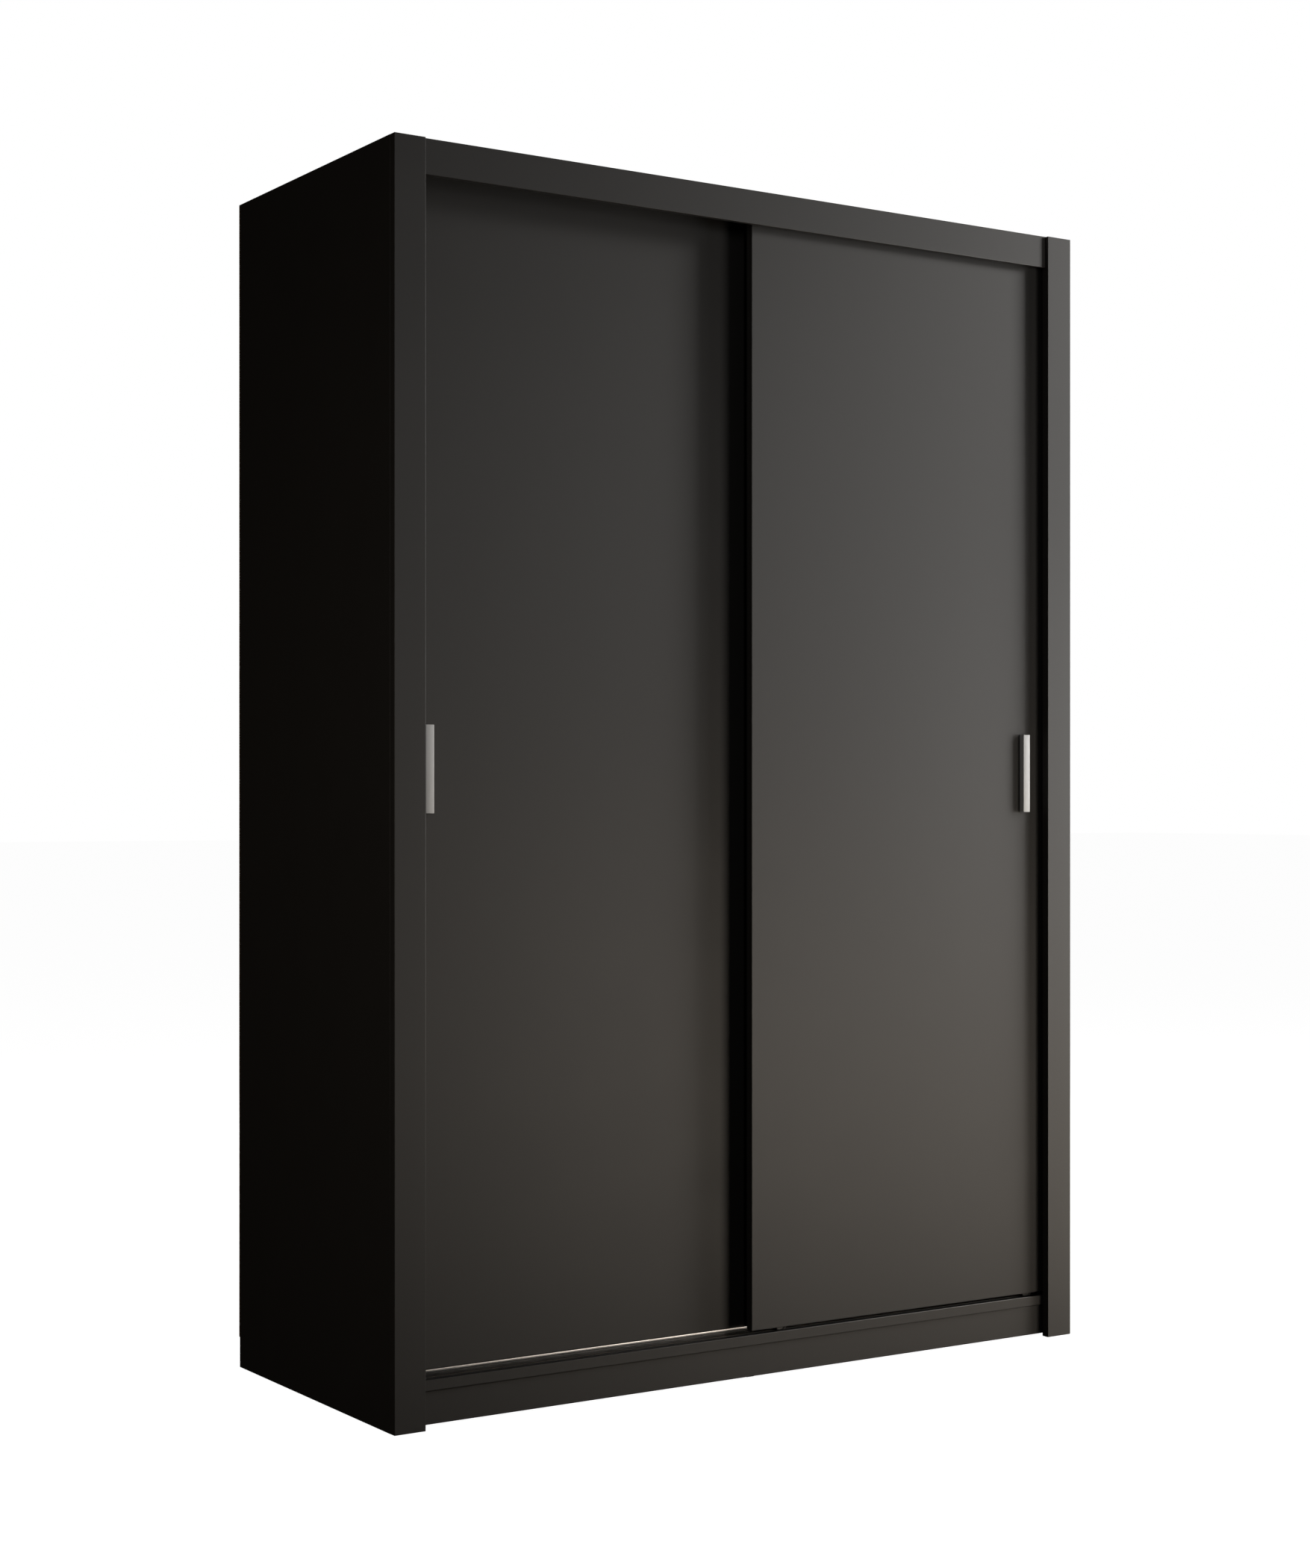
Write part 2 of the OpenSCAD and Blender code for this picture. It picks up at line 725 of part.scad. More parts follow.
side_panel(-1);  // side_panel_left
side_panel(1);  // side_panel_right
front_post(-1);  // front_post_left
front_post(1);  // front_post_right
fascia();
top_panel();
bottom_panel();
plinth_front();
plinth_rear();
centre_brace();
centre_partition();
fixed_shelf(-1);  // fixed_shelf_left
fixed_shelf(1);  // fixed_shelf_right
adjustable_shelf(1);  // adjustable_shelf_1
adjustable_shelf(2);  // adjustable_shelf_2
adjustable_shelf(3);  // adjustable_shelf_3
adjustable_shelf(4);  // adjustable_shelf_4
shelf_pins();
back_sheet(-1);  // back_sheet_left
back_sheet(1);  // back_sheet_right
back_nails();
hanging_rail();
rail_socket(partition_x, -1);  // rail_socket_inner
rail_socket(inner_x, 1);  // rail_socket_outer
rail_socket_screws();
top_track();
top_track_screws();
front_bottom_track();
rear_bottom_rail();
bottom_track_screws();
door_bumpers();
cam_locks();
cam_bolts();
wood_dowels();
confirmat_screws();
corner_blocks();
corner_block_screws();
wall_brackets();
wall_bracket_screws();
door_panel(1);  // front_door_panel
handle(1);  // front_door_handle
handle_screws(1);  // front_door_handle_screws
roller_housings(1);  // front_door_roller_housings
axles(1);  // front_door_axles
top_guides(1);  // front_door_top_guides
guide_screws(1);  // front_door_guide_screws
door_wheel(1, 0);  // front_door_wheel_left
door_wheel(1, 1);  // front_door_wheel_right
door_panel(-1);  // rear_door_panel
handle(-1);  // rear_door_handle
handle_screws(-1);  // rear_door_handle_screws
roller_housings(-1);  // rear_door_roller_housings
axles(-1);  // rear_door_axles
top_guides(-1);  // rear_door_top_guides
guide_screws(-1);  // rear_door_guide_screws
door_wheel(-1, 0);  // rear_door_wheel_left
door_wheel(-1, 1);  // rear_door_wheel_right
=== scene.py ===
import bpy
import bmesh
import json
import math
from mathutils import Matrix, Vector


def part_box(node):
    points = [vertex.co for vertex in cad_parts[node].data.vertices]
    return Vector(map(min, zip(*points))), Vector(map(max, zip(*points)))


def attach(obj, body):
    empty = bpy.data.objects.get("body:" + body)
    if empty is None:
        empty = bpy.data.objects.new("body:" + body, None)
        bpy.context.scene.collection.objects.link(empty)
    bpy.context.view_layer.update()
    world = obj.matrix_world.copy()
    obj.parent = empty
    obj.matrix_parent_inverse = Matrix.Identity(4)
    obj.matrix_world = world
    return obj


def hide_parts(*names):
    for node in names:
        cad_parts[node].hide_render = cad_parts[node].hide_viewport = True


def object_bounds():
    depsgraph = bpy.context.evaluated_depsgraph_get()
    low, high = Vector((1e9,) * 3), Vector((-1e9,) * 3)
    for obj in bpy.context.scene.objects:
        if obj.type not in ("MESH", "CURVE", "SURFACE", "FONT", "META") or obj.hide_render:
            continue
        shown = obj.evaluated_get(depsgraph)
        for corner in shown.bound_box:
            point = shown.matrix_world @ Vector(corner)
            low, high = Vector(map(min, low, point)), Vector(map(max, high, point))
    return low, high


# Black wardrobe with two sliding doors on white, as a catalogue shows it.
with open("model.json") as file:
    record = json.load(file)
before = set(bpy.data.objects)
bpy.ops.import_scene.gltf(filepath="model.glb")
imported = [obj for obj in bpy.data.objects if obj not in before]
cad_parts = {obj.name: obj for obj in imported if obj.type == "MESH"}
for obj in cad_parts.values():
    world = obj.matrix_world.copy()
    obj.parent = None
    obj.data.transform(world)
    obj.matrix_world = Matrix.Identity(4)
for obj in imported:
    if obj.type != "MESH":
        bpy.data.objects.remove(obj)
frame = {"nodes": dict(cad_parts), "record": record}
cad_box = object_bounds()

# Lengths are in metres. A name that ends in _mm or _MM is in millimetres.
MM = 0.001
WELD = 0.002 * MM    # vertices closer than this are one
SAME = 0.01 * MM     # coordinates closer than this are equal
ON_BOX = 0.02 * MM   # a point or face this close to its node's box lies on the box

FLOOR_Z = cad_box[0].z
RECORD = frame["record"]
BODY_OF = {node: body for body, nodes in RECORD["behaviour"]["bodies"].items() for node in nodes}
SLOT_OF = {row["node"]: row["material_slot"] for row in RECORD["subparts"]}
DOORS = ("front_door", "rear_door")


# ---------- camera, light and floor ----------

def make_camera():
    """Level camera in front of the left side, as far back as the photograph's perspective shows."""
    data = bpy.data.cameras.new("camera")
    data.sensor_width = 36.0
    data.lens = 58.32
    data.shift_x = 0.0390
    data.shift_y = 0.0116
    data.clip_start = 0.1
    data.clip_end = 200.0
    camera = bpy.data.objects.new("camera", data)
    camera.location = (-2.720, -4.015, 1.045)
    camera.rotation_euler = (math.radians(90), 0, math.radians(-32.465))
    bpy.context.scene.collection.objects.link(camera)
    bpy.context.scene.camera = camera


FRONT_AIM = (0.25, -0.3, 1.1)
LEFT_AIM = (-0.75, 0.0, 1.1)
SQUARE = (1.1, 1.1)
NEUTRAL = (1.0, 0.98, 0.955)
WARM = (1.0, 0.88, 0.74)
# Softboxes: name, place, point they face, width and height, power in watts, colour.
# The light comes from the right, high up, and the left side gets almost none.
LIGHTS = (
    ("right_high", (4.70, -2.01, 3.40), FRONT_AIM, SQUARE, 120.0, NEUTRAL),
    ("right_far", (5.30, -3.12, 1.20), FRONT_AIM, SQUARE, 32.0, NEUTRAL),
    ("right_middle", (2.91, -1.03, 1.15), FRONT_AIM, SQUARE, 35.0, NEUTRAL),
    ("right_near", (2.39, -0.55, 1.80), FRONT_AIM, SQUARE, 6.5, NEUTRAL),
    ("right_foot", (1.87, -0.63, 0.30), FRONT_AIM, SQUARE, 10.5, WARM),
    ("front_low", (1.72, -2.76, 0.25), FRONT_AIM, SQUARE, 18.0, WARM),
    ("front_middle", (1.72, -2.76, 2.05), FRONT_AIM, SQUARE, 4.5, NEUTRAL),
    ("front_left", (-1.60, -3.07, 2.60), FRONT_AIM, SQUARE, 10.5, NEUTRAL),
    ("left_side", (-3.20, -0.30, 1.00), LEFT_AIM, SQUARE, 9.0, WARM),
    ("behind", (0.0, 4.20, 1.70), (0.0, 0.3, 1.1), (1.3, 2.0), 90.0, NEUTRAL),
    ("behind_right", (3.60, 2.60, 1.70), (0.5, 0.2, 1.1), (1.1, 2.0), 40.0, NEUTRAL),
    ("above", (0.0, 0.0, 4.60), (0.0, 0.0, 2.1), (1.2, 0.4), 30.0, NEUTRAL),
)


def make_lights():
    for name, place, target, size, power, colour in LIGHTS:
        data = bpy.data.lights.new(name, "AREA")
        data.shape = "RECTANGLE"
        data.size, data.size_y = size
        data.energy = power
        data.color = colour
        light = bpy.data.objects.new(name, data)
        light.location = place
        light.rotation_euler = (Vector(target) - Vector(place)).to_track_quat("-Z", "Y").to_euler()
        bpy.context.scene.collection.objects.link(light)


def make_world():
    """White background that lights nothing, so the softboxes alone shade the object."""
    world = bpy.data.worlds.new("studio")
    world.use_nodes = True
    background = world.node_tree.nodes["Background"]
    background.inputs["Color"].default_value = (1, 1, 1, 1)
    background.inputs["Strength"].default_value = 1.0
    world.cycles_visibility.diffuse = False
    world.cycles_visibility.glossy = False
    bpy.context.scene.world = world


def make_floor():
    """White floor just under the feet, which lights nothing, as in the cut-out photograph."""
    half_width = 60
    gap = 0.5 * MM
    bm = bmesh.new()
    bmesh.ops.create_grid(bm, x_segments=2, y_segments=2, size=half_width)
    floor = as_object("floor", bm)
    floor.location.z = FLOOR_Z - gap
    floor.visible_diffuse = False
    floor.visible_glossy = False
    material = bpy.data.materials.new("floor")
    material.use_nodes = True
    shader = material.node_tree.nodes["Principled BSDF"]
    shader.inputs["Base Color"].default_value = (0.3, 0.3, 0.3, 1)
    shader.inputs["Roughness"].default_value = 0.9
    shader.inputs["Emission Color"].default_value = (1, 1, 1, 1)
    shader.inputs["Emission Strength"].default_value = 0.98
    floor.data.materials.append(material)


# ---------- material building blocks ----------

class Finish:
    """One procedural material, with its nodes placed by small helper calls."""

    def __init__(self, name, metallic=0.0, specular=0.5):
        self.material = bpy.data.materials.new(name)
        self.material.use_nodes = True
        self.tree = self.material.node_tree
        self.shader = self.tree.nodes["Principled BSDF"]
        self.shader.inputs["Metallic"].default_value = metallic
        self.shader.inputs["Specular IOR Level"].default_value = specular
        self.place = self.tree.nodes.new("ShaderNodeTexCoord").outputs["Object"]

    def link(self, source, target):
        self.tree.links.new(source, target)

    def stretched_place(self, stretch):
        """Coordinates that draw a pattern out along an axis where stretch is above 1."""
        mapping = self.tree.nodes.new("ShaderNodeMapping")
        mapping.inputs["Scale"].default_value = [1 / s for s in stretch]
        self.link(self.place, mapping.inputs["Vector"])
        return mapping.outputs["Vector"]

    def noise(self, size_mm, detail=3.0, stretch=(1, 1, 1)):
        """Noise with features about size_mm across."""
        texture = self.tree.nodes.new("ShaderNodeTexNoise")
        texture.inputs["Scale"].default_value = 1 / (size_mm * MM)
        texture.inputs["Detail"].default_value = detail
        self.link(self.stretched_place(stretch), texture.inputs["Vector"])
        return texture.outputs["Fac"]

    def flakes(self, size_mm, stretch=(1, 1, 1)):
        """Value that is constant inside each cell, about size_mm across."""
        texture = self.tree.nodes.new("ShaderNodeTexVoronoi")
        texture.inputs["Scale"].default_value = 1 / (size_mm * MM)
        self.link(self.stretched_place(stretch), texture.inputs["Vector"])
        split = self.tree.nodes.new("ShaderNodeSeparateColor")
        self.link(texture.outputs["Color"], split.inputs["Color"])
        return split.outputs["Red"]

    def span(self, value, low, high, from_low=0.3, from_high=0.7):
        """Value stretched from one range to another, without leaving it."""
        node = self.tree.nodes.new("ShaderNodeMapRange")
        node.inputs["From Min"].default_value = from_low
        node.inputs["From Max"].default_value = from_high
        node.inputs["To Min"].default_value = low
        node.inputs["To Max"].default_value = high
        self.link(value, node.inputs["Value"])
        return node.outputs["Result"]

    def product(self, a, b):
        node = self.tree.nodes.new("ShaderNodeMath")
        node.operation = "MULTIPLY"
        self.link(a, node.inputs[0])
        self.link(b, node.inputs[1])
        return node.outputs["Value"]

    def edges(self, radius_mm):
        """1 on outer edges and 0 on flat faces, broken up as handling wears them."""
        bevel = self.tree.nodes.new("ShaderNodeBevel")
        bevel.samples = 4
        bevel.inputs["Radius"].default_value = radius_mm * MM
        geometry = self.tree.nodes.new("ShaderNodeNewGeometry")
        likeness = self.tree.nodes.new("ShaderNodeVectorMath")
        likeness.operation = "DOT_PRODUCT"
        self.link(bevel.outputs["Normal"], likeness.inputs[0])
        self.link(geometry.outputs["Normal"], likeness.inputs[1])
        turned = self.span(likeness.outputs["Value"], 1.0, 0.0, from_low=0.80, from_high=0.99)
        patches = self.span(self.noise(9.0, 4.0), 0.1, 1.0, from_low=0.35, from_high=0.65)
        return self.product(turned, patches)

    def colour(self, *layers):
        """Blends colours in order: the first is the ground, each later one is (factor, colour)."""
        ground = layers[0]
        for factor, tint in layers[1:]:
            mix = self.tree.nodes.new("ShaderNodeMix")
            mix.data_type = "RGBA"
            self.link(factor, mix.inputs["Factor"])
            if isinstance(ground, tuple):
                mix.inputs["A"].default_value = (*ground, 1)
            else:
                self.link(ground, mix.inputs["A"])
            mix.inputs["B"].default_value = (*tint, 1)
            ground = mix.outputs["Result"]
        self.link(ground, self.shader.inputs["Base Color"])

    def roughness(self, value, low, high):
        self.link(self.span(value, low, high), self.shader.inputs["Roughness"])

    def bump(self, height, strength, depth_mm):
        """Relief from a height, on top of any relief that is there already."""
        node = self.tree.nodes.new("ShaderNodeBump")
        node.inputs["Strength"].default_value = strength
        node.inputs["Distance"].default_value = depth_mm * MM
        self.link(height, node.inputs["Height"])
        if self.shader.inputs["Normal"].is_linked:
            self.link(self.shader.inputs["Normal"].links[0].from_socket, node.inputs["Normal"])
        self.link(node.outputs["Normal"], self.shader.inputs["Normal"])


def lighter(colour, factor):
    return tuple(min(1.0, channel * factor) for channel in colour)


# ---------- materials ----------

BOARD_BLACK = (0.0180, 0.0166, 0.0154)


def laminate():
    """Matt black laminate, slightly warm: pearl-fine texture, cloudy sheen and faint rubbing."""
    f = Finish("black_laminate")
    cloud = f.noise(260, 3.0)
    pearl = f.noise(0.9, 2.0)
    rub = f.span(f.noise(38, 5.0, (1, 1, 3)), 0.0, 0.5, 0.55, 0.8)
    f.colour(BOARD_BLACK, (f.span(cloud, 0, 1), (0.0190, 0.0176, 0.0163)),
             (f.span(pearl, 0, 0.5), (0.0159, 0.0147, 0.0136)), (rub, (0.0195, 0.0180, 0.0167)))
    f.roughness(f.noise(90, 4.0), 0.475, 0.495)
    f.bump(pearl, 0.25, 0.05)
    return f.material


def edge_band():
    """Edge banding of the boards: much the same sheen, worn lighter on the arrises."""
    f = Finish("edge_band")
    grain = f.noise(0.8, 2.0, (20, 20, 20))
    f.colour(BOARD_BLACK, (f.span(f.noise(30, 3.0), 0, 1), (0.0200, 0.0186, 0.0172)),
             (f.edges(1.2), (0.050, 0.047, 0.044)))
    f.roughness(f.noise(20, 3.0), 0.45, 0.50)
    f.bump(grain, 0.15, 0.05)
    return f.material


def painted_shade_floor_laminate():
    """Laminate of the bottom panel's top: duller than the others, with its colour painted darker as the shade
    that lies on the wardrobe's floor, and faint scuffs along the tracks.
    """
    f = Finish("painted_shade_floor_laminate", specular=0.06)
    scuffs = f.span(f.noise(26, 5.0, (4, 1, 1)), 0.0, 0.4, 0.55, 0.75)
    # Base colours far darker than BOARD_BLACK: painted shade on the same laminate, with the scuffs laid over
    # it
    f.colour((0.0035, 0.0033, 0.0030), (f.noise(180, 3.0), (0.0042, 0.0039, 0.0036)),
             (scuffs, (0.0052, 0.0048, 0.0045)))
    f.roughness(f.noise(40, 4.0), 0.40, 0.46)
    f.bump(f.noise(0.9, 2.0), 0.10, 0.02)
    return f.material


def chipboard():
    """Raw chipboard inside bores, grooves and pockets."""
    f = Finish("chipboard")
    chips = f.flakes(1.6, (2.0, 2.0, 0.7))
    f.colour((0.42, 0.31, 0.20), (chips, (0.60, 0.47, 0.32)), (f.noise(4.0, 4.0), (0.34, 0.24, 0.15)))
    f.roughness(chips, 0.8, 0.95)
    f.bump(chips, 0.6, 0.25)
    return f.material


def hardboard():
    """Raw brown rear face of the back sheets: pressed fibres and a fine screen pattern."""
    f = Finish("hardboard")
    fibres = f.noise(5.0, 6.0, (1, 1, 2.2))
    screen = f.noise(1.4, 1.0)
    f.colour((0.150, 0.088, 0.048), (f.span(fibres, 0, 1, 0.35, 0.65), (0.245, 0.155, 0.090)),
             (f.span(f.noise(300, 4.0), 0, 0.6), (0.175, 0.108, 0.064)),
             (f.span(f.noise(11.0, 6.0), 0, 0.7, 0.6, 0.75), (0.105, 0.062, 0.036)))
    f.roughness(fibres, 0.70, 0.88)
    f.bump(screen, 0.5, 0.12)
    f.bump(fibres, 0.4, 0.15)
    return f.material


def steel(name, colour, dark, low, high):
    """Plated steel or cast zinc: faint clouding, fine casting or rolling texture, scuffed edges."""
    f = Finish(name, metallic=1.0)
    f.colour(colour, (f.span(f.noise(7.0, 4.0), 0, 1), dark), (f.edges(0.4), lighter(colour, 1.25)))
    f.roughness(f.noise(3.0, 4.0), low, high)
    f.bump(f.noise(0.7, 3.0), 0.25, 0.03)
    return f.material


def beech():
    """Fluted beech of the dowels, with flecked grain along X."""
    f = Finish("beech")
    grain = f.noise(0.9, 4.0, (14, 1, 1))
    flecks = f.span(f.noise(1.2, 2.0, (3, 1, 1)), 0, 0.8, 0.6, 0.75)
    f.colour((0.62, 0.44, 0.27), (f.span(grain, 0, 1), (0.72, 0.55, 0.36)), (flecks, (0.45, 0.29, 0.16)))
    f.roughness(grain, 0.55, 0.72)
    f.bump(grain, 0.4, 0.08)
    return f.material


def chrome():
    """Chromed tube with drawing lines along X and light fingerprints."""
    f = Finish("chrome_tube", metallic=1.0)
    drawn = f.noise(0.8, 2.0, (60, 1, 1))
    f.colour((0.80, 0.81, 0.83), (f.span(f.noise(25, 4.0), 0, 1), (0.70, 0.71, 0.73)))
    f.roughness(f.noise(18, 5.0), 0.07, 0.22)
    f.bump(drawn, 0.08, 0.02)
    return f.material


def aluminium(name, colour, dark, low, high):
    """Anodised extrusion: die lines along X, with polished wear where wheels and feet touch it."""
    f = Finish(name, metallic=1.0)
    lines = f.noise(0.35, 2.0, (400, 1, 1))
    f.colour(colour, (f.span(lines, 0, 1), dark), (f.edges(0.5), lighter(colour, 1.2)))
    f.roughness(f.noise(1.0, 3.0, (80, 1, 1)), low, high)
    f.bump(lines, 0.3, 0.03)
    return f.material


def black_track():
    """Black track sunk in the bottom panel, with die lines along X and rubbed edges."""
    f = Finish("black_track", specular=0.25)
    lines = f.noise(0.4, 2.0, (300, 1, 1))
    f.colour((0.006, 0.006, 0.006), (f.span(lines, 0, 1), (0.010, 0.010, 0.0095)),
             (f.edges(0.5), (0.05, 0.05, 0.05)))
    f.roughness(f.noise(1.2, 3.0, (60, 1, 1)), 0.38, 0.52)
    f.bump(lines, 0.3, 0.03)
    return f.material


def plastic(name, colour, light, low, high, grain_mm=0.6):
    """Moulded plastic or rubber with a spark-eroded texture and rubbed edges."""
    f = Finish(name)
    grain = f.noise(grain_mm, 3.0)
    f.colour(colour, (f.span(f.noise(12.0, 3.0), 0, 1), light), (f.edges(0.5), lighter(light, 1.6)))
    f.roughness(f.noise(5.0, 3.0), low, high)
    f.bump(grain, 0.35, 0.05)
    return f.material


def satin_handle():
    """Silver-lacquered metal: fine brushing along the bar, brighter where hands polish the edges."""
    f = Finish("satin_handle", metallic=0.3)
    brushed = f.noise(0.28, 2.0, (1, 1, 120))
    f.colour((0.560, 0.565, 0.568), (f.span(brushed, 0, 1), (0.492, 0.496, 0.498)),
             (f.span(f.noise(22, 4.0), 0, 0.5), (0.532, 0.536, 0.537)), (f.edges(0.5), (0.70, 0.705, 0.71)))
    f.roughness(f.noise(0.5, 3.0, (1, 1, 90)), 0.48, 0.56)
    f.bump(brushed, 0.22, 0.02)
    return f.material


def make_materials():
    """The finishes by name: the record's material slots, and the extra ones of the boards."""
    return {
        "black_laminate": laminate(),
        "edge_band": edge_band(),
        "painted_shade_floor_laminate": painted_shade_floor_laminate(),
        "chipboard": chipboard(),
        "hardboard": hardboard(),
        "zinc_steel": steel("zinc_steel", (0.60, 0.60, 0.61), (0.50, 0.50, 0.52), 0.26, 0.42),
        "die_cast_zinc": steel("die_cast_zinc", (0.52, 0.52, 0.53), (0.42, 0.42, 0.43), 0.38, 0.55),
        "beech": beech(),
        "chrome_tube": chrome(),
        "aluminium_track": aluminium("aluminium_track", (0.80, 0.80, 0.81), (0.70, 0.70, 0.71), 0.26, 0.38),
        "black_track": black_track(),
        "bumper_rubber": plastic("bumper_rubber", (0.045, 0.045, 0.045), (0.07, 0.07, 0.07), 0.65, 0.8, 0.4),
        "black_plastic": plastic("black_plastic", (0.022, 0.022, 0.022), (0.032, 0.032, 0.031), 0.40, 0.55),
        "satin_handle": satin_handle(),
        "nylon": plastic("nylon", (0.020, 0.020, 0.020), (0.028, 0.028, 0.027), 0.34, 0.46, 1.0),
    }


# ---------- mesh building blocks ----------

def as_object(name, bm):
    """Object with a bmesh's shape. The bmesh is used up."""
    mesh = bpy.data.meshes.new(name)
    bm.to_mesh(mesh)
    bm.free()
    thing = bpy.data.objects.new(name, mesh)
    bpy.context.scene.collection.objects.link(thing)
    return thing


def put(bm, node, kind, materials=None, bend=30):
    """Piece that stands for a CAD node, moves with its body, and has its slot's finish unless told.

    Faces are smooth except where they meet at more than bend degrees. A bend of 0 leaves them alone.
    """
    bm.normal_update()
    piece = as_object(f"{node}_{kind}", bm)
    mesh = piece.data
    if "custom_normal" in mesh.attributes:
        mesh.attributes.remove(mesh.attributes["custom_normal"])
    for material in materials or [SLOT_OF[node]]:
        mesh.materials.append(MATERIALS[material])
    if bend:
        mesh.shade_smooth()
        mesh.set_sharp_from_angle(angle=math.radians(bend))
    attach(piece, BODY_OF[node])
    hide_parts(node)


def put_lathed(bm, node, kind, bend=30):
    """Piece made with lathe(), whose faces are first turned to look outwards."""
    bmesh.ops.recalc_face_normals(bm, faces=bm.faces)
    put(bm, node, kind, bend=bend)


def cad_bmesh(node):
    """Copy of a CAD node's mesh, with its split vertices joined."""
    bm = bmesh.new()
    bm.from_mesh(frame["nodes"][node].data)
    bmesh.ops.remove_doubles(bm, verts=bm.verts, dist=WELD)
    return bm


def flat_cad_bmesh(node):
    """Copy of a CAD node's mesh, with the triangles of each flat face joined into one face."""
    bm = cad_bmesh(node)
    bmesh.ops.dissolve_limit(bm, angle_limit=math.radians(0.5), verts=bm.verts, edges=bm.edges)
    for face in bm.faces:
        face.smooth = False
    return bm


def outer_edges(bm, low, high):
    """Edges that lie on the box's own twelve edges."""
    def on_box(point):
        return [abs(point[i] - low[i]) < ON_BOX or abs(point[i] - high[i]) < ON_BOX for i in range(3)]

    found = []
    for edge in bm.edges:
        a, b = (vert.co for vert in edge.verts)
        along = [i for i in range(3) if abs(a[i] - b[i]) > SAME]
        across = [i for i in range(3) if on_box(a)[i] and on_box(b)[i] and i not in along]
        if len(along) == 1 and len(across) == 2:
            found.append(edge)
    return found


def long_edges(bm, min_length):
    """Outward edges of at least that length, where the surface turns by more than 60 degrees."""
    found = []
    for edge in bm.edges:
        if len(edge.link_faces) == 2 and edge.calc_length() >= min_length and edge.is_convex:
            if edge.calc_face_angle() > math.radians(60):
                found.append(edge)
    return found


def soften(bm, edges, radius, material_index, segments=3):
    """Rounds edges, and gives the new faces that material."""
    result = bmesh.ops.bevel(bm, geom=edges, offset=radius, offset_type="OFFSET", segments=segments,
                             profile=0.5, affect="EDGES", clamp_overlap=False)
    for face in result["faces"]:
        face.smooth = True
        face.material_index = material_index


def lathe(bm, profile, centre, axis, segments):
    """Turned shape: profile is (radius, distance along the axis) from one end to the other.

    A profile that doesn't start on the axis makes a ring or a tube, so its last point joins its first.
    """
    on_axis = 1e-7
    turn = Vector((0, 0, 1)).rotation_difference(Vector(axis)).to_matrix()
    rings = []
    for radius, along in profile:
        if radius < on_axis:
            rings.append([bm.verts.new(Vector(centre) + turn @ Vector((0, 0, along)))])
            continue
        ring = []
        for k in range(segments):
            angle = 2 * math.pi * k / segments
            point = Vector((radius * math.cos(angle), radius * math.sin(angle), along))
            ring.append(bm.verts.new(Vector(centre) + turn @ point))
        rings.append(ring)
    if len(rings[0]) > 1:
        rings.append(rings[0])
    for first, second in zip(rings, rings[1:]):
        join_rings(bm, first, second)


def join_rings(bm, first, second):
    """Faces between two rings of vertices, either of which may be a single vertex on the axis."""
    count = max(len(first), len(second))
    if count == 1:
        return
    for k in range(count):
        after = (k + 1) % count
        if len(first) == 1:
            bm.faces.new((first[0], second[after], second[k]))
        elif len(second) == 1:
            bm.faces.new((first[k], first[after], second[0]))
        else:
            bm.faces.new((first[k], first[after], second[after], second[k]))


# Where the middle point of a rounded corner lies, as a share of the corner's size
CORNER_MIDDLE = 0.3


def near_corner(radius, size):
    """Profile points that round the corner at the start of a turned shape."""
    middle = CORNER_MIDDLE * size
    return [(radius - size, 0), (radius - middle, middle), (radius, size)]


def far_corner(radius, end, size):
    """Profile points that round the corner at the end of a turned shape."""
    middle = CORNER_MIDDLE * size
    return [(radius, end - size), (radius - middle, end - middle), (radius - size, end)]


def islands(node):
    """Vertex positions of each separate solid of a CAD node."""
    bm = cad_bmesh(node)
    left = set(bm.verts)
    found = []
    while left:
        start = min(left, key=lambda vert: vert.index)
        group = {start}
        waiting = [start]
        while waiting:
            vert = waiting.pop()
            for edge in vert.link_edges:
                other = edge.other_vert(vert)
                if other not in group:
                    group.add(other)
                    waiting.append(other)
        left -= group
        found.append([vert.co.copy() for vert in sorted(group, key=lambda vert: vert.index)])
    bm.free()
    return found


def box_of(points):
    """Lowest and highest corner of a set of points."""
    low = Vector([min(point[i] for point in points) for i in range(3)])
    high = Vector([max(point[i] for point in points) for i in range(3)])
    return low, high


def measure_turned(points):
    """Place of the head, axis, length and radii of a screw, nail or pin, from its CAD vertices."""
    same_ring = 0.05 * MM
    low, high = box_of(points)
    size = high - low
    along = max(range(3), key=lambda i: size[i])
    a, b = [i for i in range(3) if i != along]
    middle = (low + high) / 2

    def radius_at(level):
        ring = [point for point in points if abs(point[along] - level) < same_ring]
        return max(math.hypot(point[a] - middle[a], point[b] - middle[b]) for point in ring)

    head_at_low = radius_at(low[along]) >= radius_at(high[along])
    head, tip = (low[along], high[along]) if head_at_low else (high[along], low[along])
    levels = sorted({round(abs(point[along] - head), 6) for point in points})
    axis = Vector((0, 0, 0))
    axis[along] = 1 if head_at_low else -1
    place = middle.copy()
    place[along] = head
    return {"place": place, "axis": axis, "length": size[along], "head_r": radius_at(head),
            "shank_r": radius_at(tip), "head_h": levels[1] if len(levels) > 1 else 0}


# ---------- boards ----------

# How far each board's outer edges are rounded, in millimetres
ARRIS_MM = {
    "side_panel_left": 0.4, "side_panel_right": 0.4, "front_post_left": 0.9, "front_post_right": 0.9,
    "fascia": 0.9, "top_panel": 0.3, "bottom_panel": 1.0, "plinth_front": 1.6, "plinth_rear": 0.5,
    "centre_brace": 0.5, "centre_partition": 0.8, "fixed_shelf_left": 0.7, "fixed_shelf_right": 0.7,
    "adjustable_shelf_1": 0.9, "adjustable_shelf_2": 0.9, "adjustable_shelf_3": 0.9,
    "adjustable_shelf_4": 0.9, "front_door_panel": 1.0, "rear_door_panel": 1.0,
}
# Order of a board's materials: its two faces, its edges, and its bores and grooves
FACE, EDGE, CUT = range(3)


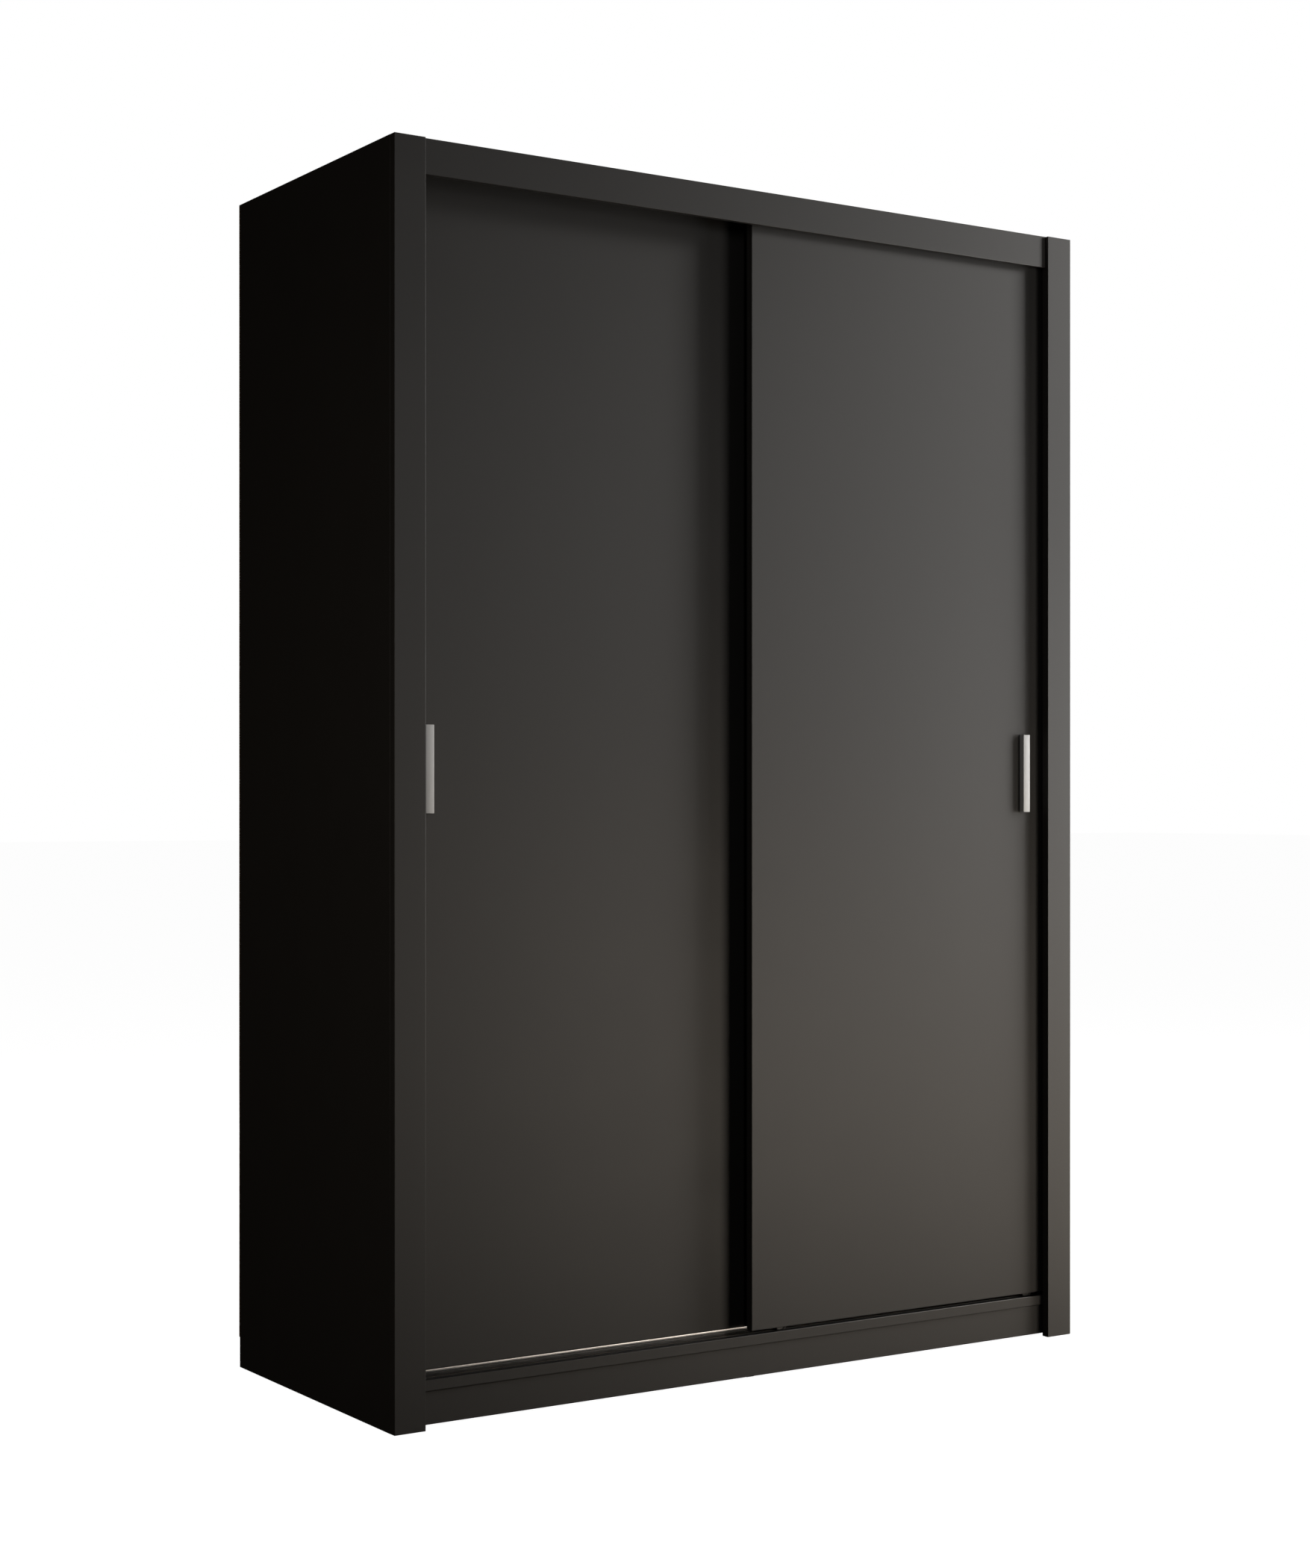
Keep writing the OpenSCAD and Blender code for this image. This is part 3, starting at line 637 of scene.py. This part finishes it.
def make_boards():
    """Laminated boards: laminate on the two faces, banding on the edges, raw chipboard in the cuts."""
    for node, arris_mm in ARRIS_MM.items():
        low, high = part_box(node)
        size = high - low
        thin = min(range(3), key=lambda i: size[i])
        bm = flat_cad_bmesh(node)
        for face in bm.faces:
            face.material_index = board_material(face, low, high, thin)
        soften(bm, outer_edges(bm, low, high), arris_mm * MM, EDGE)
        # The bottom panel's faces get the laminate painted darker, as painted shade on the wardrobe's floor
        laminate_name = "painted_shade_floor_laminate" if node == "bottom_panel" else "black_laminate"
        put(bm, node, "board", [laminate_name, "edge_band", "chipboard"], bend=0)


def board_material(face, low, high, thin):
    """Which of a board's materials a face has, where thin is the axis of the board's thickness."""
    face.normal_update()
    centre = face.calc_center_median()
    facing = max(range(3), key=lambda i: abs(face.normal[i]))
    at_box = min(abs(centre[facing] - low[facing]), abs(centre[facing] - high[facing])) < ON_BOX
    if abs(face.normal[facing]) < 0.99 or not at_box:
        return CUT
    return FACE if facing == thin else EDGE


def make_back_sheets():
    """Thin fibreboard: laminated towards the inside, raw brown towards the wall and on the edges."""
    arris = 0.3 * MM
    raw, inside = range(2)
    for node in ("back_sheet_left", "back_sheet_right"):
        bm = flat_cad_bmesh(node)
        low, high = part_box(node)
        for face in bm.faces:
            face.normal_update()
            face.material_index = inside if face.normal.y < -0.5 else raw
        soften(bm, outer_edges(bm, low, high), arris, raw, segments=2)
        put(bm, node, "board", ["hardboard", "black_laminate"], bend=0)


# ---------- metal and plastic parts kept close to the CAD shape ----------

# Radius that softens the long edges of each fitting, and the shortest edge it is used on, in millimetres
SOFTENED_MM = {
    "top_track": (0.4, 900), "front_bottom_track": (0.4, 900), "rear_bottom_rail": (0.65, 900),
    "wall_brackets": (0.5, 8), "corner_blocks": (1.2, 15),
    "front_door_roller_housings": (0.7, 9), "rear_door_roller_housings": (0.7, 9),
    "front_door_top_guides": (0.9, 7), "rear_door_top_guides": (0.9, 7),
    "cam_locks": (0.15, 0.9),
}


def make_softened_parts():
    for node, (radius_mm, shortest_mm) in SOFTENED_MM.items():
        bm = flat_cad_bmesh(node)
        for face in bm.faces:
            face.material_index = 0
        soften(bm, long_edges(bm, shortest_mm * MM), radius_mm * MM, 0)
        put(bm, node, "shaped")


# ---------- turned parts ----------

# Pan head from its top to its underside, as shares of its radius and height
HEAD_OUTLINE = ((0, 0), (0.50, 0.02), (0.78, 0.14), (0.94, 0.38), (1, 0.68), (1, 0.94), (0.96, 1))


def screw_profile(m):
    """Half outline of a pan-head screw, from the top of its head to its tip."""
    shank, length = m["shank_r"], m["length"]
    head = [(radius * m["head_r"], along * m["head_h"]) for radius, along in HEAD_OUTLINE]
    tip = [(shank, length - 1.2 * shank), (0.62 * shank, length - 0.5 * shank), (0, length)]
    return head + [(shank, m["head_h"])] + tip


def cross_cutter(m):
    """Plus-shaped tool that cuts the driver recess of a head."""
    depth = 0.62 * m["head_h"]
    arm = 0.62 * m["head_r"]
    wide = 0.20 * m["head_r"]
    taper = 0.72
    bm = bmesh.new()
    outline = [(arm, wide), (wide, wide), (wide, arm), (-wide, arm), (-wide, wide), (-arm, wide),
               (-arm, -wide), (-wide, -wide), (-wide, -arm), (wide, -arm), (wide, -wide), (arm, -wide)]
    top = [bm.verts.new((x, y, -m["head_h"])) for x, y in outline]
    bottom = [bm.verts.new((x * taper, y * taper, depth)) for x, y in outline]
    bm.faces.new(top)
    bm.faces.new(list(reversed(bottom)))
    for k in range(len(outline)):
        after = (k + 1) % len(outline)
        bm.faces.new((top[k], bottom[k], bottom[after], top[after]))
    bmesh.ops.recalc_face_normals(bm, faces=bm.faces)
    return bm


def screw_mesh(m, recess):
    """One screw along +Z with its head's top at the origin."""
    bm = bmesh.new()
    lathe(bm, screw_profile(m), (0, 0, 0), (0, 0, 1), segments=40)
    bmesh.ops.recalc_face_normals(bm, faces=bm.faces)
    body = as_object("screw", bm)
    if not recess:
        mesh = body.data
        bpy.data.objects.remove(body)
        return mesh
    cutter = as_object("cutter", cross_cutter(m))
    cut = body.modifiers.new("recess", "BOOLEAN")
    cut.operation = "DIFFERENCE"
    cut.solver = "EXACT"
    cut.object = cutter
    bpy.context.view_layer.update()
    evaluated = body.evaluated_get(bpy.context.evaluated_depsgraph_get())
    mesh = bpy.data.meshes.new_from_object(evaluated)
    bpy.data.objects.remove(cutter)
    bpy.data.objects.remove(body)
    return mesh


# Screw and nail groups, and whether their heads have a driver recess
SCREWS = {
    "back_nails": False, "rail_socket_screws": True, "top_track_screws": True, "bottom_track_screws": True,
    "confirmat_screws": True, "corner_block_screws": True, "wall_bracket_screws": True,
    "front_door_handle_screws": True, "front_door_guide_screws": True,
    "rear_door_handle_screws": True, "rear_door_guide_screws": True,
}


def make_screws():
    """Each group is one screw, repeated where the CAD has them."""
    for node, recess in SCREWS.items():
        bm = bmesh.new()
        screw = None
        for points in islands(node):
            m = measure_turned(points)
            if screw is None:
                screw = screw_mesh(m, recess)
            turn = Vector((0, 0, 1)).rotation_difference(m["axis"]).to_matrix().to_4x4()
            copy = screw.copy()
            copy.transform(Matrix.Translation(m["place"]) @ turn)
            bm.from_mesh(copy)
            bpy.data.meshes.remove(copy)
        put(bm, node, "turned")


def make_axles():
    """Round steel pins with softened ends."""
    edge = 0.3 * MM
    for node in ("front_door_axles", "rear_door_axles"):
        bm = bmesh.new()
        for points in islands(node):
            m = measure_turned(points)
            start = near_corner(m["head_r"], edge)
            end = far_corner(m["head_r"], m["length"], edge)
            profile = [(0, 0), *start, *end, (0, m["length"])]
            lathe(bm, profile, m["place"], m["axis"], segments=32)
        put_lathed(bm, node, "turned")


def make_shelf_pins():
    """Pins that start inside the left side panel or the centre partition."""
    bm = bmesh.new()
    side_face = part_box("side_panel_left")[1].x
    partition_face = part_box("centre_partition")[0].x
    for points in islands("shelf_pins"):
        m = measure_turned(points)
        at_side = m["place"].x < (side_face + partition_face) / 2
        face = side_face if at_side else partition_face
        inwards = Vector((1 if at_side else -1, 0, 0))
        low, high = box_of(points)
        start = low.x if at_side else high.x
        place = Vector((start, m["place"].y, m["place"].z))
        profile = pin_profile(m["head_r"], m["length"], abs(face - start))
        lathe(bm, profile, place, inwards, segments=36)
    put_lathed(bm, "shelf_pins", "turned")


def pin_profile(radius, length, inside):
    """Shelf pin: chamfered stem, a thin collar against the panel, and a rounded support."""
    chamfer, chamfer_l = 0.4 * MM, 0.5 * MM
    collar_r = radius + 0.9 * MM
    collar_start = inside + 0.1 * MM
    collar_end = inside + 0.8 * MM
    collar_foot = inside + 0.9 * MM
    tip = 0.8 * MM
    tip_middle = 0.25 * MM
    stem = [(0, 0), (radius - chamfer, 0), (radius, chamfer_l)]
    collar = [(radius, collar_start), (collar_r, collar_start), (collar_r, collar_end), (radius, collar_foot)]
    support = [(radius, length - tip), (radius - tip_middle, length - tip_middle), (radius - tip, length)]
    return stem + collar + support + [(0, length)]


# Dome of a door buffer from the panel outwards, as shares of its radius and height
BUMPER_OUTLINE = ((0, 0), (1, 0), (1, 0.25), (0.96, 0.5), (0.86, 0.72), (0.66, 0.89), (0.36, 0.98), (0, 1))


def make_bumpers():
    """Domed rubber buffers on the side panels."""
    touching = 1 * MM
    bm = bmesh.new()
    right_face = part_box("side_panel_right")[0].x
    for points in islands("door_bumpers"):
        low, high = box_of(points)
        middle = (low + high) / 2
        radius = (high.z - low.z) / 2
        tall = high.x - low.x
        on_right = abs(high.x - right_face) < touching
        place = Vector((high.x if on_right else low.x, middle.y, middle.z))
        profile = [(r * radius, along * tall) for r, along in BUMPER_OUTLINE]
        lathe(bm, profile, place, (-1 if on_right else 1, 0, 0), segments=40)
    put_lathed(bm, "door_bumpers", "domed", bend=50)


# ---------- hanging rail ----------

def make_hanging_rail():
    """Open tube with chamfered ends."""
    low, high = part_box("hanging_rail")
    centre = (low + high) / 2
    radius = (high.z - low.z) / 2
    length = high.x - low.x
    wall = 1.2 * MM
    bore = radius - wall
    edge = 0.3 * MM
    profile = [(bore, 0), (radius - edge, 0), (radius, edge), (radius, length - edge),
               (radius - edge, length), (bore, length)]
    bm = bmesh.new()
    lathe(bm, profile, (low.x, centre.y, centre.z), (1, 0, 0), segments=72)
    put_lathed(bm, "hanging_rail", "tube")


def socket_profile(flange_r, collar_l):
    """Half outline of a rail socket: a flange, a fillet, and a collar with a bore."""
    flange_t = 2.9 * MM
    back_chamfer, back_chamfer_l = 0.2 * MM, 0.4 * MM
    collar_r = 14.5 * MM
    bore = 12.6 * MM
    bore_start = 1.5 * MM
    soft = 0.7 * MM
    lip = 0.3 * MM
    fillet = 1.6 * MM
    middle = CORNER_MIDDLE * fillet
    flange = [(0, 0), (flange_r - back_chamfer, 0), (flange_r, back_chamfer_l),
              *far_corner(flange_r, flange_t, soft)]
    hollow = [(collar_r + fillet, flange_t), (collar_r + middle, flange_t + middle),
              (collar_r, flange_t + fillet)]
    inside = [(bore + lip, collar_l), (bore, collar_l - lip), (bore, bore_start), (0, bore_start)]
    return flange + hollow + far_corner(collar_r, collar_l, soft) + inside


def make_rail_sockets():
    """Flanged cups that hold the two ends of the rail, and face each other."""
    for node, axis in (("rail_socket_inner", 1), ("rail_socket_outer", -1)):
        low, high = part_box(node)
        centre = (low + high) / 2
        base = low.x if axis > 0 else high.x
        profile = socket_profile((high.z - low.z) / 2, high.x - low.x)
        bm = bmesh.new()
        lathe(bm, profile, (base, centre.y, centre.z), (axis, 0, 0), segments=72)
        put_lathed(bm, node, "turned")


# ---------- doors ----------

def make_handles():
    """Solid bar with every front arris softened, seated flat on its door."""
    arris = 0.6 * MM
    for door in DOORS:
        node = door + "_handle"
        low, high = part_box(node)
        bm = bmesh.new()
        bmesh.ops.create_cube(bm, size=1)
        bmesh.ops.scale(bm, vec=high - low, verts=bm.verts)
        bmesh.ops.translate(bm, vec=(low + high) / 2, verts=bm.verts)
        front = [edge for edge in bm.edges if not all(abs(vert.co.y - high.y) < SAME for vert in edge.verts)]
        bmesh.ops.bevel(bm, geom=front, offset=arris, offset_type="OFFSET", segments=4,
                        profile=0.5, affect="EDGES", clamp_overlap=False)
        put(bm, node, "bar", bend=40)


def wheel_profile(tyre, width):
    """Half outline of a wheel, which is the same on both sides: hub, sunk web and rim."""
    bore = 1.55 * MM
    bore_edge = 0.2 * MM
    hub = 4.2 * MM
    rim_wall = 3.2 * MM
    rim = tyre - rim_wall
    edge = 0.3 * MM
    draft = 0.5 * MM
    sunk = 1.8 * MM
    tread_edge = 0.8 * MM
    side = [(bore, bore_edge), (bore + bore_edge, 0), (hub - edge, 0), (hub, edge),
            (hub + draft, sunk), (rim - draft, sunk), (rim, edge), (rim + edge, 0),
            *near_corner(tyre, tread_edge)]
    return side + [(radius, width - along) for radius, along in reversed(side)]


def make_wheels():
    """Moulded wheels with softened tread edges."""
    for door in DOORS:
        for end in ("left", "right"):
            node = f"{door}_wheel_{end}"
            low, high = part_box(node)
            centre = (low + high) / 2
            profile = wheel_profile((high.z - low.z) / 2, high.y - low.y)
            bm = bmesh.new()
            lathe(bm, profile, (centre.x, low.y, centre.z), (0, 1, 0), segments=64)
            put_lathed(bm, node, "moulded")


# ---------- CAD nodes ----------

def paint_cad_nodes():
    """Gives every CAD node its slot's finish. The cam bolts and dowels also keep their CAD shape."""
    for node, thing in frame["nodes"].items():
        thing.data.materials.clear()
        thing.data.materials.append(MATERIALS[SLOT_OF[node]])


make_camera()
make_lights()
make_world()
make_floor()
bpy.context.scene.view_settings.view_transform = "Standard"

MATERIALS = make_materials()
paint_cad_nodes()
make_boards()
make_back_sheets()
make_softened_parts()
make_screws()
make_axles()
make_shelf_pins()
make_bumpers()
make_hanging_rail()
make_rail_sockets()
make_handles()
make_wheels()
